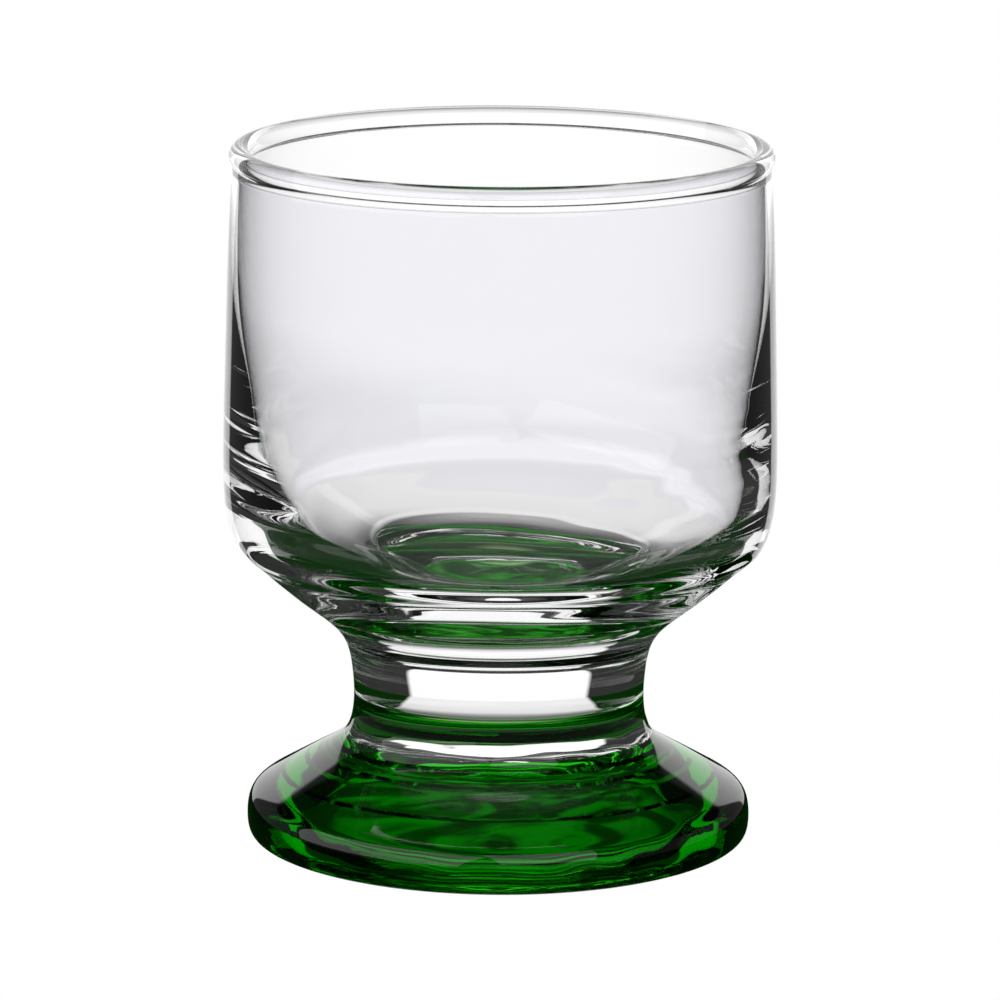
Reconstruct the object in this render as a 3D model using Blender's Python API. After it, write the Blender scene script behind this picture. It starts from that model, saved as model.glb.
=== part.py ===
"""A footed wine tasting glass: a clear blown bowl with a beaded rim, a stem and foot pressed in one
piece and fused under it, and a translucent green colour coat on the outside of the foot.

Metres, +Z up, origin at the centre of the face that the glass rests on. Every piece is turned about Z.
"""

import math

import bmesh
import bpy

# Driving dimensions, in millimetres
HEIGHT = 85.0
BEAD_RADIUS = 1.28
BEAD_CENTRE_RADIUS = 31.47
BEAD_OPEN_ANGLE = 40.0
NECK_HEIGHT = 81.6
FUSE_HEIGHT = 21.5
STEM_RADIUS = 17.7
FOOT_RADIUS = 30.7
PUNT_RADIUS = 26.0
PUNT_HEIGHT = 10.4
PUNT_EDGE_ROUNDING = 0.8
COAT_TOP = 13.3
COAT_BOTTOM = 0.5
COAT_THICKNESS = 0.3
TOUCHING_GAP = 0.3

# Outside of the bowl, from the neck under the bead down to the stem: radius, height, rounding
BOWL_OUTSIDE = (
    (32.40, NECK_HEIGHT, 1.5),
    (33.70, 49.0, 150.0),
    (33.05, 36.7, 7.0),
    (18.10, 24.8, 6.5),
    (STEM_RADIUS, 17.5, 40.0),
)

# Inside of the bowl, from the neck down to the middle of its floor: radius, height, rounding
BOWL_INSIDE = (
    (31.30, NECK_HEIGHT, 1.5),
    (31.75, 63.0, 90.0),
    (30.20, 50.5, 40.0),
    (29.10, 42.2, 5.0),
    (23.20, 35.2, 6.0),
    (16.50, 33.2, 30.0),
    (6.00, 31.6, 30.0),
)
FLOOR_HEIGHT = 31.5

# Outside of the stem and foot, from the stem down to the resting face: radius, height, rounding
FOOT_OUTSIDE = (
    (18.10, 24.8, 0.0),
    (STEM_RADIUS, 17.5, 40.0),
    (STEM_RADIUS, 12.7, 6.0),
    (30.55, 5.35, 2.6),
    (FOOT_RADIUS, 0.0, 1.2),
    (PUNT_RADIUS, 0.0, 0.0),
)

# Mesh fineness
TURN_STEPS = 64
ARC_TOLERANCE = 0.03
MERGE_DISTANCE = 1e-6
SMOOTH_UNDER_DEGREES = 45.0
METRES_PER_MM = 0.001

# Looks: colour, roughness, metallic, transmission
CLEAR_GLASS = ((0.96, 0.97, 0.98), 0.02, 0.0, 1.0)
GREEN_COAT = ((0.02, 0.38, 0.02), 0.05, 0.0, 0.6)


def arc(centre, radius, start, end):
    """Points on a circle from one angle to another, in degrees, as coarse as the tolerance allows."""
    widest_step = math.degrees(2.0 * math.acos(1.0 - ARC_TOLERANCE / radius))
    steps = max(2, math.ceil(abs(end - start) / widest_step))
    angles = [math.radians(start + (end - start) * step / steps) for step in range(steps + 1)]
    return [(centre[0] + radius * math.cos(angle), centre[1] + radius * math.sin(angle)) for angle in angles]


def round_corner(before, corner, after, rounding):
    """Points of the arc that rounds one corner of an outline."""
    to_before = (before[0] - corner[0], before[1] - corner[1])
    to_after = (after[0] - corner[0], after[1] - corner[1])
    heading_before = math.atan2(to_before[1], to_before[0])
    heading_after = math.atan2(to_after[1], to_after[0])
    turn = math.remainder(heading_after - heading_before, 2.0 * math.pi)
    half = abs(turn) / 2.0
    reach = rounding / math.sin(half)
    middle = heading_before + turn / 2.0
    centre = (corner[0] + reach * math.cos(middle), corner[1] + reach * math.sin(middle))
    quarter = math.copysign(90.0, turn)
    start = math.degrees(heading_before) - quarter
    swing = math.copysign(180.0 - math.degrees(abs(turn)), -turn)
    return arc(centre, rounding, start, start + swing)


def rounded(corners, start, end):
    """An outline from a start point through rounded corners to an end point."""
    stops = [start, *[corner[:2] for corner in corners], end]
    points = [start]
    for before, corner, after in zip(stops, corners, stops[2:]):
        if corner[2]:
            points += round_corner(before, corner[:2], after, corner[2])
        else:
            points.append(corner[:2])
    return [*points, end]


def radius_at(outline, height):
    """Radius of a falling outline at a height."""
    for above, below in zip(outline, outline[1:]):
        if above[1] >= height >= below[1] and above[1] > below[1]:
            share = (above[1] - height) / (above[1] - below[1])
            return above[0] + share * (below[0] - above[0])
    raise ValueError(f"the outline doesn't reach {height} mm")


def stretch(outline, top, bottom):
    """The part of a falling outline between two heights."""
    inner = [point for point in outline if bottom < point[1] < top]
    return [(radius_at(outline, top), top), *inner, (radius_at(outline, bottom), bottom)]


def inset(outline, distance):
    """A falling outline moved square to itself, into the glass."""
    moved = []
    for index, point in enumerate(outline):
        before = outline[max(index - 1, 0)]
        after = outline[min(index + 1, len(outline) - 1)]
        along = math.hypot(after[0] - before[0], after[1] - before[1])
        moved.append(
            (
                point[0] + distance * (after[1] - before[1]) / along,
                point[1] - distance * (after[0] - before[0]) / along,
            )
        )
    return moved


def bowl_outline():
    """The bowl's wall, rim bead and floor, from the middle of its floor round to the fused joint."""
    bead_centre = (BEAD_CENTRE_RADIUS, HEIGHT - BEAD_RADIUS)
    bead = arc(bead_centre, BEAD_RADIUS, 180.0 + BEAD_OPEN_ANGLE, -BEAD_OPEN_ANGLE)
    inside = rounded(BOWL_INSIDE, bead[0], (0.0, FLOOR_HEIGHT))
    outside = rounded(BOWL_OUTSIDE[:-1], bead[-1], BOWL_OUTSIDE[-1][:2])
    joint = FUSE_HEIGHT + TOUCHING_GAP / 2.0
    wall = stretch(outside, NECK_HEIGHT, joint)
    neck = [point for point in outside if point[1] >= NECK_HEIGHT]
    return [*reversed(inside), *bead[1:-1], *neck, *wall[1:], (0.0, joint)]


def foot_side():
    """The outside of the stem and foot, from above the fused joint down to the resting face."""
    return rounded(FOOT_OUTSIDE[1:-1], FOOT_OUTSIDE[0][:2], FOOT_OUTSIDE[-1][:2])


def foot_outline():
    """The stem and foot, from the fused joint down its side and under it to the top of the punt."""
    side = foot_side()
    joint = FUSE_HEIGHT - TOUCHING_GAP / 2.0
    seat = COAT_THICKNESS + TOUCHING_GAP
    stem = stretch(side, joint, COAT_TOP + TOUCHING_GAP)
    seated = inset(stretch(side, COAT_TOP + TOUCHING_GAP, COAT_BOTTOM - TOUCHING_GAP), seat)
    lowest = [point for point in seated if point[1] > 0.0]
    resting = [(lowest[-1][0], 0.0)]
    sphere = (PUNT_RADIUS**2 + PUNT_HEIGHT**2) / (2.0 * PUNT_HEIGHT)
    edge_angle = math.degrees(math.asin((sphere - PUNT_HEIGHT) / sphere))
    punt = arc((0.0, PUNT_HEIGHT - sphere), sphere, edge_angle, 90.0)
    edge = round_corner(resting[0], punt[0], punt[1], PUNT_EDGE_ROUNDING)
    return [(0.0, joint), *stem, *lowest, *resting, *edge, *punt[1:-1], (0.0, PUNT_HEIGHT)]


def coat_outline():
    """The colour coat's section, round its outer face and back up its inner one."""
    outer = stretch(foot_side(), COAT_TOP, COAT_BOTTOM)
    return [*outer, *reversed(inset(outer, COAT_THICKNESS))]


def material(name, colour, roughness, metallic, transmission):
    """One Principled material."""
    made = bpy.data.materials.new(name)
    made.use_nodes = True
    shader = made.node_tree.nodes["Principled BSDF"]
    shader.inputs["Base Color"].default_value = (*colour, 1.0)
    shader.inputs["Roughness"].default_value = roughness
    shader.inputs["Metallic"].default_value = metallic
    shader.inputs["Transmission Weight"].default_value = transmission
    return made


def turn(name, outline, finish, closed=False):
    """Turns an outline about Z into one closed, smoothly shaded object."""
    shape = bmesh.new()
    points = [shape.verts.new((r * METRES_PER_MM, 0.0, z * METRES_PER_MM)) for r, z in outline]
    ring = [*points, points[0]] if closed else points
    edges = [shape.edges.new(pair) for pair in zip(ring, ring[1:])]
    bmesh.ops.spin(
        shape,
        geom=points + edges,
        cent=(0.0, 0.0, 0.0),
        axis=(0.0, 0.0, 1.0),
        angle=2.0 * math.pi,
        steps=TURN_STEPS,
        use_merge=True,
    )
    bmesh.ops.remove_doubles(shape, verts=shape.verts, dist=MERGE_DISTANCE)
    bmesh.ops.recalc_face_normals(shape, faces=shape.faces)
    mesh = bpy.data.meshes.new(name)
    shape.to_mesh(mesh)
    shape.free()
    mesh.shade_smooth()
    mesh.set_sharp_from_angle(angle=math.radians(SMOOTH_UNDER_DEGREES))
    mesh.materials.append(finish)
    made = bpy.data.objects.new(name, mesh)
    bpy.context.scene.collection.objects.link(made)
    return made


def main():
    for left_over in list(bpy.data.objects):
        bpy.data.objects.remove(left_over)
    clear_glass = material("clear_glass", *CLEAR_GLASS)
    green_coat = material("green_coat", *GREEN_COAT)
    turn("bowl", bowl_outline(), clear_glass)
    turn("stem_foot", foot_outline(), clear_glass)
    turn("colour_coat", coat_outline(), green_coat, closed=True)


main()
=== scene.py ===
"""Looks of a footed wine tasting glass: a clear bowl with a beaded rim, a stem and foot fused under it, and a
translucent green coat on the outside of the foot. Metres, +Z up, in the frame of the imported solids."""

import math

import bmesh
import bpy
import numpy as np
from mathutils import Matrix, Vector, noise


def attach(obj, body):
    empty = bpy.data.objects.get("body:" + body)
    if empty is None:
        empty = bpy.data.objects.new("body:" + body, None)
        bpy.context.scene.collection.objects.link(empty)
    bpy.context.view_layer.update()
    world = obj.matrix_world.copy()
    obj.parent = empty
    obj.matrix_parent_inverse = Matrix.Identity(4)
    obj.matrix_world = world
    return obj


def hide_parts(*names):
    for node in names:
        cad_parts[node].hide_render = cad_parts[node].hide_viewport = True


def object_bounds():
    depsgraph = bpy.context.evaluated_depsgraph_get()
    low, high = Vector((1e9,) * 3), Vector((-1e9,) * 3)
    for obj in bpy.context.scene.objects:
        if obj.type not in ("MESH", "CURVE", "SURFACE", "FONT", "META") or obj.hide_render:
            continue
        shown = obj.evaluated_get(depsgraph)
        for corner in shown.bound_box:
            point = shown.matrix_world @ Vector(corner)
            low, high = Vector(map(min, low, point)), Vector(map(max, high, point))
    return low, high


bl_info = {
    "name": "Footed wine tasting glass",
    "version": (1, 0, 0),
    "blender": (4, 5, 0),
    "location": "3D View > Sidebar > Glass",
    "description": "Builds a clear tasting glass with a green coated foot, and a bright studio round it",
    "category": "Object",
}

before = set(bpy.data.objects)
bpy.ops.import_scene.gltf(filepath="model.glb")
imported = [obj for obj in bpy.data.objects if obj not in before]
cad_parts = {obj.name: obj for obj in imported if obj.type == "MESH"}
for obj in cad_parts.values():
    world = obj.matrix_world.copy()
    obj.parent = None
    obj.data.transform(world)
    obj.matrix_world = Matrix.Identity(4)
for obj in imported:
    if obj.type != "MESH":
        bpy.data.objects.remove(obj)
CAD_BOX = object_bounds()
MM = 0.001

# Outlines in millimetres, as (radius, height) points that a smooth line runs through
WALL_OUTSIDE = (
    (32.35, 81.9),
    (32.78, 75.0),
    (33.30, 58.5),
    (33.54, 47.5),
    (33.14, 40.0),
    (31.90, 36.3),
    (30.50, 34.9),
    (25.30, 30.5),
    (21.50, 27.5),
    (18.95, 24.6),
    (17.94, 21.0),
    (17.69, 17.0),
    (18.13, 14.0),
    (19.40, 11.9),
    (23.90, 9.05),
    (28.30, 6.55),
    (30.10, 5.2),
    (30.66, 3.2),
    (30.50, 1.0),
    (30.00, 0.3),
    (29.20, 0.0),
)
WALL_INSIDE = (
    (31.30, 81.8),
    (31.60, 77.0),
    (31.65, 66.0),
    (31.05, 57.0),
    (30.40, 51.0),
    (29.90, 47.2),
    (29.50, 44.7),
    (28.86, 42.0),
    (28.35, 40.7),
    (27.60, 39.3),
    (26.40, 37.6),
    (25.00, 36.5),
    (23.00, 35.3),
    (20.00, 33.4),
    (17.70, 32.3),
)
FLOOR = (
    (17.45, 32.05),
    (12.25, 31.3),
    (7.00, 31.05),
    (0.00, 31.0),
)
UNDERSIDE = (
    (24.60, 0.0),
    (23.80, 0.15),
    (22.50, 1.0),
    (19.00, 4.6),
    (14.00, 8.2),
    (9.00, 9.95),
    (5.00, 10.35),
    (0.00, 10.4),
)

# The rim's bead: where its round starts inside and ends outside, in degrees, and its fineness
BEAD_SPAN = (235.0, -48.0)
BEAD_STEPS = 28

# Meshes: points closer than this are one and faces this close to a height lie on it, in metres, outline
# points are told apart to this many decimals of a millimetre, and edges sharper than this stay sharp
MERGE_DISTANCE = 1e-7
LEVEL_WITHIN = 1e-6
OUTLINE_DECIMALS = 3
SHARP_FROM_DEGREES = 40.0

# Depth of the foot's seat under the coat, as a share of the coat's depth
SEAT_SHARE = 1.5

# Ranges over which the shape's small faults set in or die away, in millimetres
LEAN_HEIGHTS = (50.0, 39.0)
CORDED_SIDE = (-5.0, 20.0)
CORDED_FROM = (24.0, 34.0)
CORDED_UP_TO = (58.0, 48.0)
SWIRLED_RADII = (25.0, 22.0)
SWIRLED_UP_TO = (15.0, 14.0)

# Length of the waves in the glass across and up, in millimetres
CORD_WAVE = (9.0, 1.6)
SWIRL_WAVE = (5.0, 5.0)

# Points this near the outside belong to it, those this far from it and above the joint to the inside, in
# millimetres
OUTER_SKIN = 1.0
INNER_SKIN = 0.6
JOINT_MARGIN = 1.0

# Fineness of the coat's ragged edge, coarse and fine, per millimetre, and the share of the fine one
RAGGED_COARSE = 0.7
RAGGED_FINE = 2.1
RAGGED_FINE_SHARE = 0.5
RAGGED_FINE_PLACE = 9.0

# Depth and fineness of the uneven colour in the clear glass and in the coat, and the detail of every noise
GLASS_MOTTLE = (0.02, 90.0)
COAT_MOTTLE = (0.12, 160.0)
NOISE_DETAIL = 2.0

# Panels of light: azimuth and height of the middle, then width and height, all in degrees seen from the glass
WINDOW = (-121.0, 25.0, 88.0, 50.0)
SOFTBOX = (157.0, 29.0, 45.0, 42.0)
PANEL_DISTANCE = 4.0
PANEL_AIM = (0.0, 0.0, 0.04)

# The floor's half width and how far the floor and the light under the foot lie below the glass
FLOOR_REACH = 30.0
FLOOR_DROP = 0.4 * MM
SHADE_DROP = 0.3 * MM
SHADE_SIDES = 96

# Painted light and shade under the foot: the noise that turns to swirls of green light, radii of the dark
# ring of painted shade and of the foot's edge in millimetres, the ring's share of the shade, and the soft
# edge of the spot of light as a share of its radius
SWIRL_RANGE = (0.42, 0.62)
DARK_RING = (17.0, 26.0)
FOOT_EDGE = (27.0, 32.0)
RING_SHARE = 0.5
GLOW_EDGE = (0.5, 1.5)

# Painted shadow of the glass on the table behind it: its brightness by the distance from the axis in
# millimetres
TABLE_SHADOW = (
    (0.0, 0.03),
    (29.0, 0.05),
    (38.0, 0.12),
    (45.0, 0.27),
    (53.0, 0.52),
    (61.0, 0.78),
    (73.0, 0.91),
    (100.0, 0.96),
)

# Brightness of the room, by the sine of the height that a ray points to
ROOM_GRADIENT = (
    (-1.00, 0.07),
    (-0.87, 0.12),
    (-0.77, 0.25),
    (-0.67, 0.48),
    (-0.57, 0.76),
    (-0.47, 0.90),
    (-0.37, 0.96),
    (-0.30, 1.09),
    (0.42, 1.12),
    (0.45, 0.10),
    (1.00, 0.03),
)

# Edges of the lit backdrop and of the pale table, in degrees to either side of straight behind the glass
BACKDROP_SIDE = (26.0, 28.5)
TABLE_SIDE = (20.5, 22.5)

# Light from the rest of the room, and what the outer face of the glass mirrors of it besides
FRONT_SHARE = 0.03
SHEEN_SHARE = 0.06

# Mirror images inside the bowl lose this share of the room's light, below a soft edge in degrees of height
MIRROR_HEIGHTS = (16.0, 19.0)
MIRROR_LOSS = 0.82

# A ray that has passed both walls of the bowl has gone through more faces than the first, and a count
# above the second is one or more
BOTH_WALLS = 3.5
NONE_YET = 0.5

# The camera, in metres, degrees and millimetres
CAMERA_PLACE = (0.0, -0.740, 0.2008)
CAMERA_DOWN = 12.155
CAMERA_ROLL = 0.358
CAMERA_LENS = 224.75
CAMERA_SENSOR = 36.0
CAMERA_NEAR = 0.01

# How many faces light may pass, mirror in, and pass where glass lies on both sides
GLASS_BOUNCES = 16
MIRROR_BOUNCES = 12
UNSEEN_BOUNCES = 64


def smooth_line(points, step):
    """Points about one step apart on the natural cubic spline through the given ones."""
    knots = np.array(points, float)
    at = np.concatenate([[0.0], np.cumsum(np.sqrt(np.hypot(*np.diff(knots, axis=0).T)))])
    gaps = np.diff(at)
    count = len(at)
    system = np.eye(count)
    target = np.zeros((count, 2))
    for row in range(1, count - 1):
        before, after = gaps[row - 1], gaps[row]
        system[row, row - 1 : row + 2] = before, 2.0 * (before + after), after
        rise = (knots[row + 1] - knots[row]) / after
        fall = (knots[row] - knots[row - 1]) / before
        target[row] = 6.0 * (rise - fall)
    bends = np.linalg.solve(system, target)
    line = []
    for row, gap in enumerate(gaps):
        pieces = max(2, math.ceil(np.hypot(*(knots[row + 1] - knots[row])) / step))
        for share in np.arange(pieces) / pieces:
            done, left = share * gap, (1.0 - share) * gap
            bent = (bends[row] * left**3 + bends[row + 1] * done**3) / (6.0 * gap)
            start = (knots[row] / gap - bends[row] * gap / 6.0) * left
            end = (knots[row + 1] / gap - bends[row + 1] * gap / 6.0) * done
            line.append(bent + start + end)
    return [tuple(point) for point in [*line, knots[-1]]]


def line_to_axis(points, step):
    """A smooth line that meets the axis square, because it runs on into its own mirror image."""
    mirrored = [(-radius, height) for radius, height in reversed(points[-4:-1])]
    whole = smooth_line([*points, *mirrored], step)
    return [*(point for point in whole if point[0] > step / 10.0), points[-1]]


def cut_at(line, height):
    """The parts of a falling line above and below a height, both ending on it."""
    for index, (above, below) in enumerate(zip(line, line[1:])):
        if above[1] > height >= below[1]:
            share = (above[1] - height) / (above[1] - below[1])
            cut = (above[0] + share * (below[0] - above[0]), height)
            return [*line[: index + 1], cut], [cut, *line[index + 1 :]]
    raise ValueError(f"the outline doesn't cross {height} mm")


def arc(centre, radius, start, end, steps):
    """Points on a circle from one angle to another, in degrees."""
    angles = np.radians(np.linspace(start, end, steps + 1))
    return [(centre[0] + radius * math.cos(a), centre[1] + radius * math.sin(a)) for a in angles]


def inset(line, distance):
    """A falling line moved square to itself, into the glass."""
    points = np.array(line)
    along = np.gradient(points, axis=0)
    along /= np.hypot(along[:, 0], along[:, 1])[:, None]
    inward = np.stack([along[:, 1], -along[:, 0]], axis=1)
    return [tuple(point) for point in points + inward * distance]


def outside_at(step):
    """A function that gives the outside radius at a height."""
    line = np.array(smooth_line(WALL_OUTSIDE, step))[::-1]
    return lambda height: float(np.interp(height, line[:, 1], line[:, 0]))


def coated_lines(sizes):
    """The outside of the stem and foot: the line above the coat, the coated one and the one under it."""
    _, side = cut_at(smooth_line(WALL_OUTSIDE, sizes.outline_step / 2.0), sizes.fuse_height)
    stem, below = cut_at(side, sizes.coat_top)
    coated, lowest = cut_at(below, sizes.coat_bottom)
    return stem, coated, lowest


def spun(outline, steps, closed=False):
    """A bmesh made by spinning an outline, in millimetres, about Z, with its poles and seam closed."""
    shape = bmesh.new()
    points = [shape.verts.new((radius * MM, 0.0, height * MM)) for radius, height in outline]
    ring = [*points, points[0]] if closed else points
    edges = [shape.edges.new(pair) for pair in zip(ring, ring[1:])]
    bmesh.ops.spin(
        shape,
        geom=points + edges,
        cent=(0.0, 0.0, 0.0),
        axis=(0.0, 0.0, 1.0),
        angle=2.0 * math.pi,
        steps=steps,
        use_merge=True,
    )
    bmesh.ops.remove_doubles(shape, verts=shape.verts, dist=MERGE_DISTANCE)
    bmesh.ops.recalc_face_normals(shape, faces=shape.faces)
    return shape


def mark_flat(shape, height):
    """Gives the flat faces at a height the second material."""
    for face in shape.faces:
        if all(abs(vert.co.z - height * MM) < LEVEL_WITHIN for vert in face.verts):
            face.material_index = 1


def mark_between(shape, line):
    """Gives the faces spun from a stretch of outline the second material. It finds them by rounded points,
    and so misses a face that has a point where the rounding turns."""

    def rounded(radius, height):
        """A point of the outline that can be compared."""
        return round(radius, OUTLINE_DECIMALS), round(height, OUTLINE_DECIMALS)

    on_line = {rounded(*point) for point in line}
    for face in shape.faces:
        places = [vert.co for vert in face.verts]
        if all(rounded(math.hypot(place.x, place.y) / MM, place.z / MM) in on_line for place in places):
            face.material_index = 1


def between(value, start, end):
    """A smooth step from 0 at the start of a range to 1 at its end, which may be the lower one."""
    share = min(max((value - start) / (end - start), 0.0), 1.0)
    return share * share * (3.0 - 2.0 * share)


def wavy_side(x, y, z):
    """How strongly the right side of the lower bowl is corded."""
    return between(x, *CORDED_SIDE) * between(z, *CORDED_FROM) * between(z, *CORDED_UP_TO)


def under_foot(x, y, z):
    """How strongly the hollow under the foot swirls."""
    return between(math.hypot(x, y), *SWIRLED_RADII) * between(z, *SWIRLED_UP_TO)


def ripple(shape, share, depth, wave):
    """Moves points square to the surface by a soft noise, where share, from 0 to 1, says how far."""
    across, up = wave
    shape.normal_update()
    for vert in shape.verts:
        x, y, z = vert.co / MM
        amount = share(x, y, z)
        if amount > 0.0:
            swell = noise.noise(Vector((x / across, y / across, z / up)))
            vert.co += vert.normal * (depth * amount * swell * MM)


def lean_inside(shape, sizes):
    """Moves the lower inside of the bowl to one side, as a plunger does that isn't quite in the middle."""
    outside = outside_at(sizes.outline_step)
    for vert in shape.verts:
        x, y, z = vert.co / MM
        if math.hypot(x, y) < outside(z) - INNER_SKIN and z > sizes.fuse_height + JOINT_MARGIN:
            share = between(z, *LEAN_HEIGHTS)
            vert.co.x += sizes.bowl_shift[0] * share * MM
            vert.co.y += sizes.bowl_shift[1] * share * MM


def uneven_edge(shape, sizes):
    """Slides the coat's upper edge along the outside: lower behind than in front, and a little ragged."""
    outside = outside_at(sizes.outline_step / 2.0)
    for vert in shape.verts:
        x, y, z = vert.co / MM
        radius = math.hypot(x, y)
        if radius < outside(z) - OUTER_SKIN or not sizes.coat_bottom < z < sizes.fuse_height:
            continue
        below = (z - sizes.coat_bottom) / (sizes.coat_top - sizes.coat_bottom)
        above = (sizes.fuse_height - z) / (sizes.fuse_height - sizes.coat_top)
        backward = 0.5 + 0.5 * y / radius
        coarse = noise.noise(Vector((x, y, 0.0)) * RAGGED_COARSE)
        fine = noise.noise(Vector((x, y, RAGGED_FINE_PLACE)) * RAGGED_FINE)
        ragged = sizes.coat_ragged * (coarse + RAGGED_FINE_SHARE * fine)
        slid = (ragged - sizes.coat_tilt * backward) * min(below, above)
        grown = 1.0 + (outside(z + slid) - outside(z)) / radius
        vert.co = Vector((x * grown, y * grown, z + slid)) * MM


def finished(name, shape, materials):
    """A smooth shaded object from a bmesh, in place of the solid of that name."""
    mesh = bpy.data.meshes.new(name + "_look")
    shape.to_mesh(mesh)
    shape.free()
    mesh.shade_smooth()
    mesh.set_sharp_from_angle(angle=math.radians(SHARP_FROM_DEGREES))
    for finish in materials:
        mesh.materials.append(finish)
    piece = bpy.data.objects.new(name + "_look", mesh)
    bpy.context.scene.collection.objects.link(piece)
    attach(piece, "root")
    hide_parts(name)
    return piece


def feed(tree, socket, value):
    """Links a socket to another one, or sets it to a number or a colour."""
    if isinstance(value, bpy.types.NodeSocket):
        tree.links.new(value, socket)
    elif isinstance(value, float):
        socket.default_value = value
    else:
        socket.default_value = (*value, 1.0)


def reckon(tree, operation, *values):
    """A Math node on sockets or numbers."""
    node = tree.nodes.new("ShaderNodeMath")
    node.operation = operation
    for socket, value in zip(node.inputs, values):
        feed(tree, socket, value)
    return node.outputs["Value"]


def blend(tree, factor, first, second, way="MIX"):
    """A mix of two colours, each given as a colour or a socket."""
    node = tree.nodes.new("ShaderNodeMix")
    node.data_type = "RGBA"
    node.blend_type = way
    feed(tree, node.inputs["Factor"], factor)
    feed(tree, node.inputs["A"], first)
    feed(tree, node.inputs["B"], second)
    return node.outputs["Result"]


def fade(tree, value, low, high):
    """A smooth step up from 0 to 1 between two values."""
    node = tree.nodes.new("ShaderNodeMapRange")
    node.interpolation_type = "SMOOTHSTEP"
    node.inputs["From Min"].default_value = low
    node.inputs["From Max"].default_value = high
    tree.links.new(value, node.inputs["Value"])
    return node.outputs["Result"]


def opposite(tree, value):
    """What is left of 1."""
    return reckon(tree, "SUBTRACT", 1.0, value)


def both(tree, first, second):
    """The product of two shares."""
    return reckon(tree, "MULTIPLY", first, second)


def brightness_by(tree, table, value, unit):
    """A grey that follows a table of places, in a unit, and brightnesses."""
    first, last = table[0], table[-1]
    along = tree.nodes.new("ShaderNodeMapRange")
    along.inputs["From Min"].default_value = first[0] * unit
    along.inputs["From Max"].default_value = last[0] * unit
    tree.links.new(value, along.inputs["Value"])
    ramp = tree.nodes.new("ShaderNodeValToRGB")
    stops = ramp.color_ramp.elements
    for place, grey in table[1:-1]:
        stops.new((place - first[0]) / (last[0] - first[0])).color = (grey, grey, grey, 1.0)
    stops[0].color = (*[first[1]] * 3, 1.0)
    stops[-1].color = (*[last[1]] * 3, 1.0)
    tree.links.new(along.outputs["Result"], ramp.inputs["Fac"])
    return ramp.outputs["Color"]


def aside_of_back(tree, direction):
    """The angle of a direction to either side of straight behind the glass, and its height as a sine."""
    split = tree.nodes.new("ShaderNodeSeparateXYZ")
    tree.links.new(direction, split.inputs["Vector"])
    azimuth = reckon(tree, "ARCTAN2", split.outputs["X"], split.outputs["Y"])
    return reckon(tree, "ABSOLUTE", azimuth), split.outputs["Z"]


def through_bowl(tree):
    """Two shares, 1 or 0: seen through both walls of the bowl straight, and seen so in a mirror image."""
    path = tree.nodes.new("ShaderNodeLightPath").outputs
    through = reckon(tree, "GREATER_THAN", path["Transmission Depth"], BOTH_WALLS)
    mirrored = reckon(tree, "GREATER_THAN", path["Glossy Depth"], NONE_YET)
    return both(tree, through, opposite(tree, mirrored)), both(tree, through, mirrored)


def new_material(name):
    """An empty node material, its tree and its output."""
    made = bpy.data.materials.new(name)
    made.use_nodes = True
    made.node_tree.nodes.clear()
    return made, made.node_tree, made.node_tree.nodes.new("ShaderNodeOutputMaterial")


def mottled(tree, colour, depth, scale):
    """A colour that soft noise deepens here and there, on the piece's own coordinates."""
    place = tree.nodes.new("ShaderNodeTexCoord")
    cloud = tree.nodes.new("ShaderNodeTexNoise")
    cloud.inputs["Scale"].default_value = scale
    cloud.inputs["Detail"].default_value = NOISE_DETAIL
    tree.links.new(place.outputs["Object"], cloud.inputs["Vector"])
    pale = [value ** (1.0 - depth) for value in colour]
    deep = [value ** (1.0 + depth) * (1.0 - depth / 2.0) for value in colour]
    return blend(tree, cloud.outputs["Fac"], pale, deep)


def clear_glass(looks):
    """Clear soda glass, a touch uneven, as from pressing and fire polishing."""
    made, tree, output = new_material("clear_glass")
    shader = tree.nodes.new("ShaderNodeBsdfPrincipled")
    tree.links.new(mottled(tree, looks.glass_colour, *GLASS_MOTTLE), shader.inputs["Base Color"])
    shader.inputs["Roughness"].default_value = 0.0
    shader.inputs["IOR"].default_value = looks.glass_index
    shader.inputs["Transmission Weight"].default_value = 1.0
    tree.links.new(shader.outputs["BSDF"], output.inputs["Surface"])
    return made


def unseen_face(name):
    """A face with glass on both sides of it, which isn't seen."""
    made, tree, output = new_material(name)
    shader = tree.nodes.new("ShaderNodeBsdfTransparent")
    tree.links.new(shader.outputs["BSDF"], output.inputs["Surface"])
    return made


def green_coat(looks):
    """The coat's outer face. Light passes the stain once going in or out, and twice when mirrored inside."""
    made, tree, output = new_material("green_coat")
    stain = mottled(tree, looks.coat_passes, *COAT_MOTTLE)
    twice = blend(tree, 1.0, stain, stain, "MULTIPLY")
    from_inside = tree.nodes.new("ShaderNodeNewGeometry").outputs["Backfacing"]
    bent = tree.nodes.new("ShaderNodeBsdfRefraction")
    bent.inputs["Roughness"].default_value = 0.0
    bent.inputs["IOR"].default_value = looks.glass_index
    tree.links.new(stain, bent.inputs["Color"])
    mirror = tree.nodes.new("ShaderNodeBsdfGlossy")
    mirror.inputs["Roughness"].default_value = 0.0
    tree.links.new(blend(tree, from_inside, (1.0, 1.0, 1.0), twice), mirror.inputs["Color"])
    edge = tree.nodes.new("ShaderNodeFresnel")
    edge.inputs["IOR"].default_value = looks.glass_index
    mix = tree.nodes.new("ShaderNodeMixShader")
    tree.links.new(edge.outputs["Fac"], mix.inputs["Fac"])
    tree.links.new(bent.outputs["BSDF"], mix.inputs[1])
    tree.links.new(mirror.outputs["BSDF"], mix.inputs[2])
    tree.links.new(mix.outputs["Shader"], output.inputs["Surface"])
    return made


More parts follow.
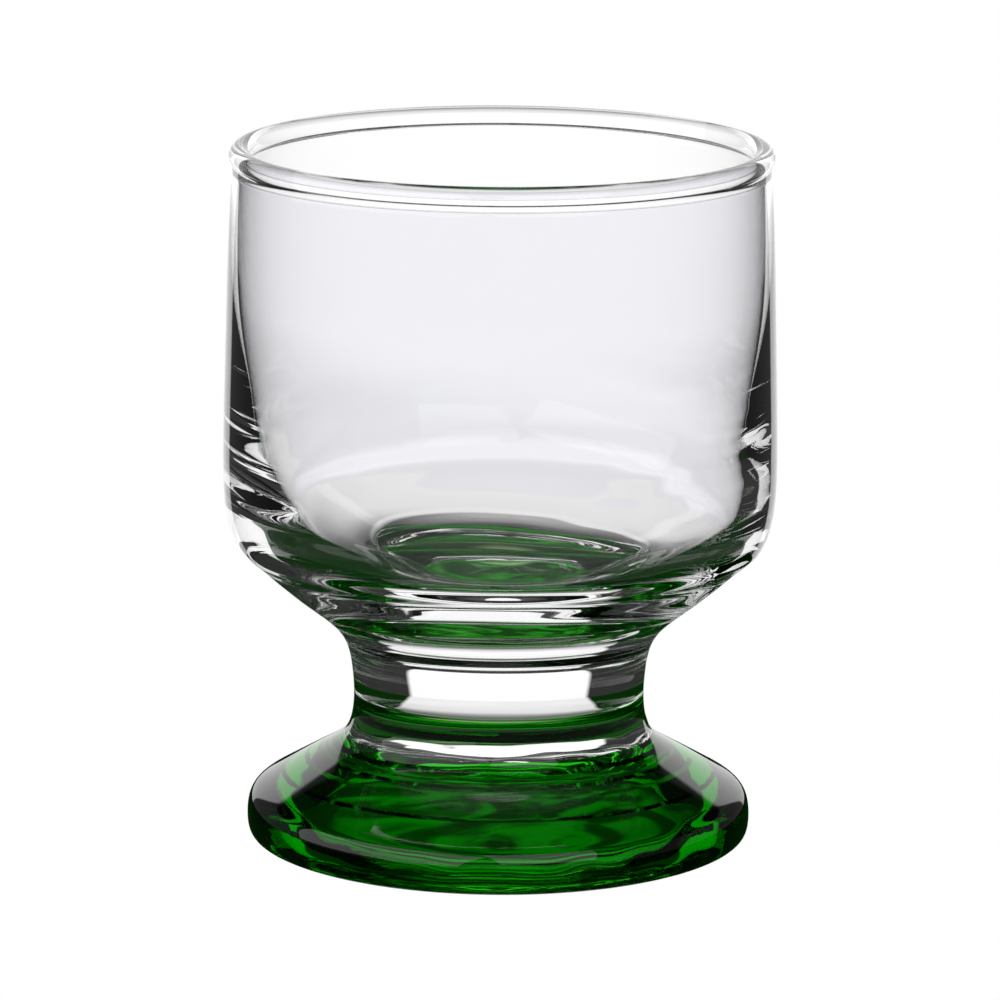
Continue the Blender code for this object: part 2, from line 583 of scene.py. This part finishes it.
class GlassSizes(bpy.types.PropertyGroup):
    """Sizes of the glass, in millimetres, and the fineness of its meshes."""

    bead_radius: bpy.props.FloatProperty(
        name="Bead radius", description="Radius of the rim's bead", default=1.28
    )
    bead_centre: bpy.props.FloatProperty(
        name="Bead ring", description="Radius of the bead's centre line", default=31.475
    )
    fuse_height: bpy.props.FloatProperty(
        name="Fused joint", description="Height where bowl meets stem", default=21.5
    )
    coat_top: bpy.props.FloatProperty(
        name="Coat top", description="Height of the coat's upper edge in front", default=13.3
    )
    coat_bottom: bpy.props.FloatProperty(
        name="Coat bottom", description="Height of the coat's lower edge", default=0.35
    )
    coat_depth: bpy.props.FloatProperty(name="Coat depth", description="Depth of the coat", default=0.12)
    coat_tilt: bpy.props.FloatProperty(
        name="Coat tilt", description="How much lower the coat's upper edge is behind", default=1.45
    )
    coat_ragged: bpy.props.FloatProperty(
        name="Coat raggedness", description="Unevenness of the coat's upper edge", default=0.12
    )
    bowl_shift: bpy.props.FloatVectorProperty(
        name="Bowl shift",
        description="How far the lower inside is off the axis, along X and Y",
        size=2,
        default=(0.8, 0.0),
    )
    cords: bpy.props.FloatProperty(name="Cords", description="Depth of the waves in the bowl", default=0.02)
    swirls: bpy.props.FloatProperty(
        name="Swirls", description="Depth of the waves under the foot", default=0.15
    )
    outline_step: bpy.props.FloatProperty(
        name="Outline step", description="Fineness along outlines", default=0.6
    )
    turn_steps: bpy.props.IntProperty(name="Turn steps", description="Fineness round the axis", default=240)


class GlassLooks(bpy.types.PropertyGroup):
    """Colours and optics of the glass and its coat."""

    glass_colour: bpy.props.FloatVectorProperty(
        name="Glass colour", description="Tint of the clear glass", subtype="COLOR", default=(1.0, 1.0, 1.0)
    )
    glass_index: bpy.props.FloatProperty(name="Refraction", description="Refractive index", default=1.52)
    coat_passes: bpy.props.FloatVectorProperty(
        name="Coat colour",
        description="What one pass lets through",
        subtype="COLOR",
        default=(0.012, 0.50, 0.005),
    )


class StageLooks(bpy.types.PropertyGroup):
    """Floor and studio light."""

    floor_colour: bpy.props.FloatVectorProperty(
        name="Floor", description="Colour of the floor", subtype="COLOR", default=(1.0, 1.0, 1.0)
    )
    bowl_tint: bpy.props.FloatVectorProperty(
        name="Bowl tint",
        description="Colour of the room as the bowl shows it",
        subtype="COLOR",
        default=(0.965, 0.957, 1.0),
    )
    window: bpy.props.FloatProperty(
        name="Window", description="Brightness of the panel at the left", default=1.0
    )
    softbox: bpy.props.FloatProperty(
        name="Softbox", description="Brightness of the panel in front", default=1.0
    )
    shade: bpy.props.FloatVectorProperty(
        name="Shade",
        description="Light on the floor under the foot",
        subtype="COLOR",
        default=(0.006, 0.05, 0.005),
    )
    swirl: bpy.props.FloatVectorProperty(
        name="Swirl",
        description="Brightest swirls of that light",
        subtype="COLOR",
        default=(0.02, 0.27, 0.015),
    )
    swirl_scale: bpy.props.FloatProperty(
        name="Swirl scale", description="Fineness of the swirls", default=70.0
    )
    swirl_twist: bpy.props.FloatProperty(
        name="Swirl twist", description="How much the swirls wind", default=2.0
    )
    glow: bpy.props.FloatVectorProperty(
        name="Glow",
        description="Spot of light through the stem",
        subtype="COLOR",
        default=(0.29, 0.43, 0.20),
    )
    glow_back: bpy.props.FloatProperty(
        name="Glow place", description="How far back the spot is, in mm", default=23.0
    )
    glow_radius: bpy.props.FloatProperty(
        name="Glow radius", description="Radius of the spot, in mm", default=4.5
    )


class GLASS_OT_bowl(bpy.types.Operator):
    """Makes the bowl with its rim bead, down to the fused joint"""

    bl_idname = "glass.bowl"
    bl_label = "Bowl"

    def execute(self, context):
        sizes, looks = context.scene.glass_sizes, context.scene.glass_looks
        top = CAD_BOX[1].z / MM
        wall = smooth_line(WALL_INSIDE, sizes.outline_step)
        inside = [*wall, *line_to_axis(FLOOR, sizes.outline_step)]
        bead_middle = (sizes.bead_centre, top - sizes.bead_radius)
        bead = arc(bead_middle, sizes.bead_radius, *BEAD_SPAN, BEAD_STEPS)
        outside, _ = cut_at(smooth_line(WALL_OUTSIDE, sizes.outline_step), sizes.fuse_height)
        shape = spun([*reversed(inside), *bead, *outside, (0.0, sizes.fuse_height)], sizes.turn_steps)
        mark_flat(shape, sizes.fuse_height)
        lean_inside(shape, sizes)
        ripple(shape, wavy_side, sizes.cords, CORD_WAVE)
        piece = finished("bowl", shape, [clear_glass(looks), unseen_face("fused_joint")])
        return {"FINISHED"}


class GLASS_OT_stem_foot(bpy.types.Operator):
    """Makes the stem and foot, with the hollow under it"""

    bl_idname = "glass.stem_foot"
    bl_label = "Stem and foot"

    def execute(self, context):
        sizes, looks = context.scene.glass_sizes, context.scene.glass_looks
        stem, coated, lowest = coated_lines(sizes)
        seat = inset(coated, SEAT_SHARE * sizes.coat_depth)
        underside = line_to_axis(UNDERSIDE, sizes.outline_step)
        shape = spun([(0.0, sizes.fuse_height), *stem, *seat, *lowest, *underside], sizes.turn_steps)
        mark_flat(shape, sizes.fuse_height)
        mark_between(shape, [stem[-1], *seat, lowest[0]])
        uneven_edge(shape, sizes)
        ripple(shape, under_foot, sizes.swirls, SWIRL_WAVE)
        piece = finished("stem_foot", shape, [clear_glass(looks), unseen_face("coated_seat")])
        return {"FINISHED"}


class GLASS_OT_colour_coat(bpy.types.Operator):
    """Makes the green coat on the outside of the foot"""

    bl_idname = "glass.colour_coat"
    bl_label = "Colour coat"

    def execute(self, context):
        sizes, looks = context.scene.glass_sizes, context.scene.glass_looks
        _, coated, _ = coated_lines(sizes)
        inner = inset(coated, sizes.coat_depth)
        shape = spun([*coated, *reversed(inner)], sizes.turn_steps, closed=True)
        mark_between(shape, [coated[-1], *reversed(inner), coated[0]])
        uneven_edge(shape, sizes)
        piece = finished("colour_coat", shape, [green_coat(looks), unseen_face("coat_back")])
        return {"FINISHED"}


def glowing(name, shape, drop, colour):
    """A flat stage object from a bmesh, some way below the glass, that glows evenly."""
    bmesh.ops.translate(shape, vec=(0.0, 0.0, -drop), verts=shape.verts)
    mesh = bpy.data.meshes.new(name)
    shape.to_mesh(mesh)
    shape.free()
    finish, tree, output = new_material(name)
    glow = tree.nodes.new("ShaderNodeEmission")
    feed(tree, glow.inputs["Color"], colour)
    tree.links.new(glow.outputs["Emission"], output.inputs["Surface"])
    mesh.materials.append(finish)
    made = bpy.data.objects.new(name, mesh)
    bpy.context.scene.collection.objects.link(made)
    return made


def pale_floor(looks):
    """The floor that the camera sees. What the glass shows of the table, with its painted light and shade, is
    on the disc under the foot.
    """
    shape = bmesh.new()
    bmesh.ops.create_grid(shape, x_segments=1, y_segments=1, size=FLOOR_REACH)
    floor = glowing("floor", shape, FLOOR_DROP, looks.floor_colour)
    floor.visible_glossy = False
    floor.visible_transmission = False


def light_under_foot(looks):
    """A glowing disc that only the glass shows, painted with light and shade: swirls of green light and a
    pale spot of light under the foot, a ring of painted shade, and the table beyond with the glass's painted
    shadow on it.
    """
    shape = bmesh.new()
    bmesh.ops.create_circle(shape, cap_ends=True, radius=TABLE_SHADOW[-1][0] * MM, segments=SHADE_SIDES)
    disc = glowing("foot_shade", shape, SHADE_DROP, looks.shade)
    disc.visible_camera = False
    tree = disc.active_material.node_tree
    place = tree.nodes.new("ShaderNodeTexCoord").outputs["Object"]

    def distance(back):
        """Distance from a point on the disc behind the axis, in metres."""
        gap = tree.nodes.new("ShaderNodeVectorMath")
        gap.operation = "DISTANCE"
        gap.inputs[1].default_value = (0.0, back * MM, -SHADE_DROP)
        tree.links.new(place, gap.inputs[0])
        return gap.outputs["Value"]

    cloud = tree.nodes.new("ShaderNodeTexNoise")
    cloud.inputs["Scale"].default_value = looks.swirl_scale
    cloud.inputs["Detail"].default_value = NOISE_DETAIL
    cloud.inputs["Distortion"].default_value = looks.swirl_twist
    tree.links.new(place, cloud.inputs["Vector"])
    dark = [value * RING_SHARE for value in looks.shade]
    radius = distance(0.0)
    green = blend(tree, fade(tree, cloud.outputs["Fac"], *SWIRL_RANGE), looks.shade, looks.swirl)
    green = blend(tree, fade(tree, radius, *[edge * MM for edge in DARK_RING]), green, dark)
    spot = [share * looks.glow_radius * MM for share in GLOW_EDGE]
    green = blend(tree, fade(tree, distance(looks.glow_back), *spot), looks.glow, green)

    # The table beyond the foot, with the glass's painted shadow on it, and painted shade to its sides and in
    # front
    straight, _ = through_bowl(tree)
    aside, _ = aside_of_back(tree, place)
    hidden = fade(tree, aside, *[math.radians(angle) for angle in TABLE_SIDE])
    hidden = both(tree, hidden, opposite(tree, straight))
    table = blend(tree, hidden, brightness_by(tree, TABLE_SHADOW, radius, MM), dark)
    lit = blend(tree, fade(tree, radius, *[edge * MM for edge in FOOT_EDGE]), green, table)
    tree.links.new(lit, tree.nodes["Emission"].inputs["Color"])


def studio_room(looks):
    """A room that is plain to the camera and pale to what is seen straight through the bowl. Everything else
    meets a lit backdrop behind the glass, and the dark to its sides and in front."""
    room = bpy.data.worlds.new("room")
    room.use_nodes = True
    tree = room.node_tree
    tree.nodes.clear()
    path = tree.nodes.new("ShaderNodeLightPath").outputs
    direction = tree.nodes.new("ShaderNodeTexCoord").outputs["Generated"]
    aside, height = aside_of_back(tree, direction)
    straight, mirrored = through_bowl(tree)

    backdrop = opposite(tree, fade(tree, aside, *[math.radians(angle) for angle in BACKDROP_SIDE]))
    outer = reckon(tree, "LESS_THAN", path["Transmission Depth"], NONE_YET)
    front = reckon(tree, "MULTIPLY_ADD", outer, SHEEN_SHARE, FRONT_SHARE)
    lit = reckon(tree, "MAXIMUM", reckon(tree, "MAXIMUM", backdrop, front), straight)
    strength = both(tree, brightness_by(tree, ROOM_GRADIENT, height, 1.0), lit)

    rise = reckon(tree, "ARCSINE", height)
    low = opposite(tree, fade(tree, rise, *[math.radians(angle) for angle in MIRROR_HEIGHTS]))
    lost = both(tree, both(tree, mirrored, low), MIRROR_LOSS)
    strength = both(tree, strength, opposite(tree, lost))

    background = tree.nodes.new("ShaderNodeBackground")
    tint = blend(tree, straight, looks.floor_colour, looks.bowl_tint)
    tree.links.new(tint, background.inputs["Color"])
    shown = reckon(tree, "MAXIMUM", strength, path["Is Camera Ray"])
    tree.links.new(shown, background.inputs["Strength"])
    output = tree.nodes.new("ShaderNodeOutputWorld")
    tree.links.new(background.outputs["Background"], output.inputs["Surface"])
    return room


def across(angle):
    """The width that spans an angle, in degrees, at the distance of the panels of light."""
    return 2.0 * PANEL_DISTANCE * math.tan(math.radians(angle / 2.0))


def panel(name, place, brightness):
    """A flat soft light that faces the glass. Azimuth 0 is behind it."""
    turn, rise, width, height = place
    light = bpy.data.lights.new(name, "AREA")
    light.shape = "RECTANGLE"
    light.size, light.size_y = across(width), across(height)
    light.energy = brightness * light.size * light.size_y * math.pi
    turn, rise = math.radians(turn), math.radians(rise)
    away = Vector((math.sin(turn) * math.cos(rise), math.cos(turn) * math.cos(rise), math.sin(rise)))
    facing = away.to_track_quat("Z", "Y").to_matrix().to_4x4()
    lamp = bpy.data.objects.new(name, light)
    lamp.matrix_world = Matrix.Translation(Vector(PANEL_AIM) + away * PANEL_DISTANCE) @ facing
    lamp.visible_camera = False
    bpy.context.scene.collection.objects.link(lamp)


def place_camera(scene):
    """The camera, in front of the glass and slightly above it."""
    camera = bpy.data.cameras.new("camera")
    camera.sensor_width = CAMERA_SENSOR
    camera.lens = CAMERA_LENS
    camera.clip_start = CAMERA_NEAR
    eye = bpy.data.objects.new("camera", camera)
    tilt = Matrix.Rotation(math.radians(90.0 - CAMERA_DOWN), 4, "X")
    roll = Matrix.Rotation(math.radians(CAMERA_ROLL), 4, "Z")
    eye.matrix_world = Matrix.Translation(CAMERA_PLACE) @ tilt @ roll
    scene.collection.objects.link(eye)
    scene.camera = eye


class GLASS_OT_stage(bpy.types.Operator):
    """Makes the pale floor, the studio light and the camera"""

    bl_idname = "glass.stage"
    bl_label = "Stage"

    def execute(self, context):
        scene, looks = context.scene, context.scene.stage_looks
        pale_floor(looks)
        light_under_foot(looks)
        panel("window", WINDOW, looks.window)
        panel("softbox", SOFTBOX, looks.softbox)
        scene.world = studio_room(looks)
        place_camera(scene)
        scene.view_settings.view_transform = "Standard"
        scene.cycles.max_bounces = GLASS_BOUNCES
        scene.cycles.transmission_bounces = GLASS_BOUNCES
        scene.cycles.glossy_bounces = MIRROR_BOUNCES
        scene.cycles.transparent_max_bounces = UNSEEN_BOUNCES
        return {"FINISHED"}


class GLASS_PT_panel(bpy.types.Panel):
    """Lists the makers of the glass and its settings"""

    bl_label = "Tasting glass"
    bl_idname = "GLASS_PT_panel"
    bl_space_type = "VIEW_3D"
    bl_region_type = "UI"
    bl_category = "Glass"

    def draw(self, context):
        for group in (context.scene.glass_sizes, context.scene.glass_looks, context.scene.stage_looks):
            for name in group.__annotations__:
                self.layout.prop(group, name)
        for maker in MAKERS:
            self.layout.operator(maker.bl_idname)


MAKERS = (GLASS_OT_bowl, GLASS_OT_stem_foot, GLASS_OT_colour_coat, GLASS_OT_stage)
GROUPS = {"glass_sizes": GlassSizes, "glass_looks": GlassLooks, "stage_looks": StageLooks}


def register():
    """Makes the classes and their settings known to Blender."""
    for kind in (*GROUPS.values(), *MAKERS, GLASS_PT_panel):
        bpy.utils.register_class(kind)
    for name, group in GROUPS.items():
        setattr(bpy.types.Scene, name, bpy.props.PointerProperty(type=group))


def unregister():
    """Takes the classes and their settings away again."""
    for name in GROUPS:
        delattr(bpy.types.Scene, name)
    for kind in reversed((*GROUPS.values(), *MAKERS, GLASS_PT_panel)):
        bpy.utils.unregister_class(kind)


def main():
    """Builds the glass and its stage."""
    register()
    bpy.ops.glass.bowl()
    bpy.ops.glass.stem_foot()
    bpy.ops.glass.colour_coat()
    bpy.ops.glass.stage()


if __name__ == "__main__":
    main()
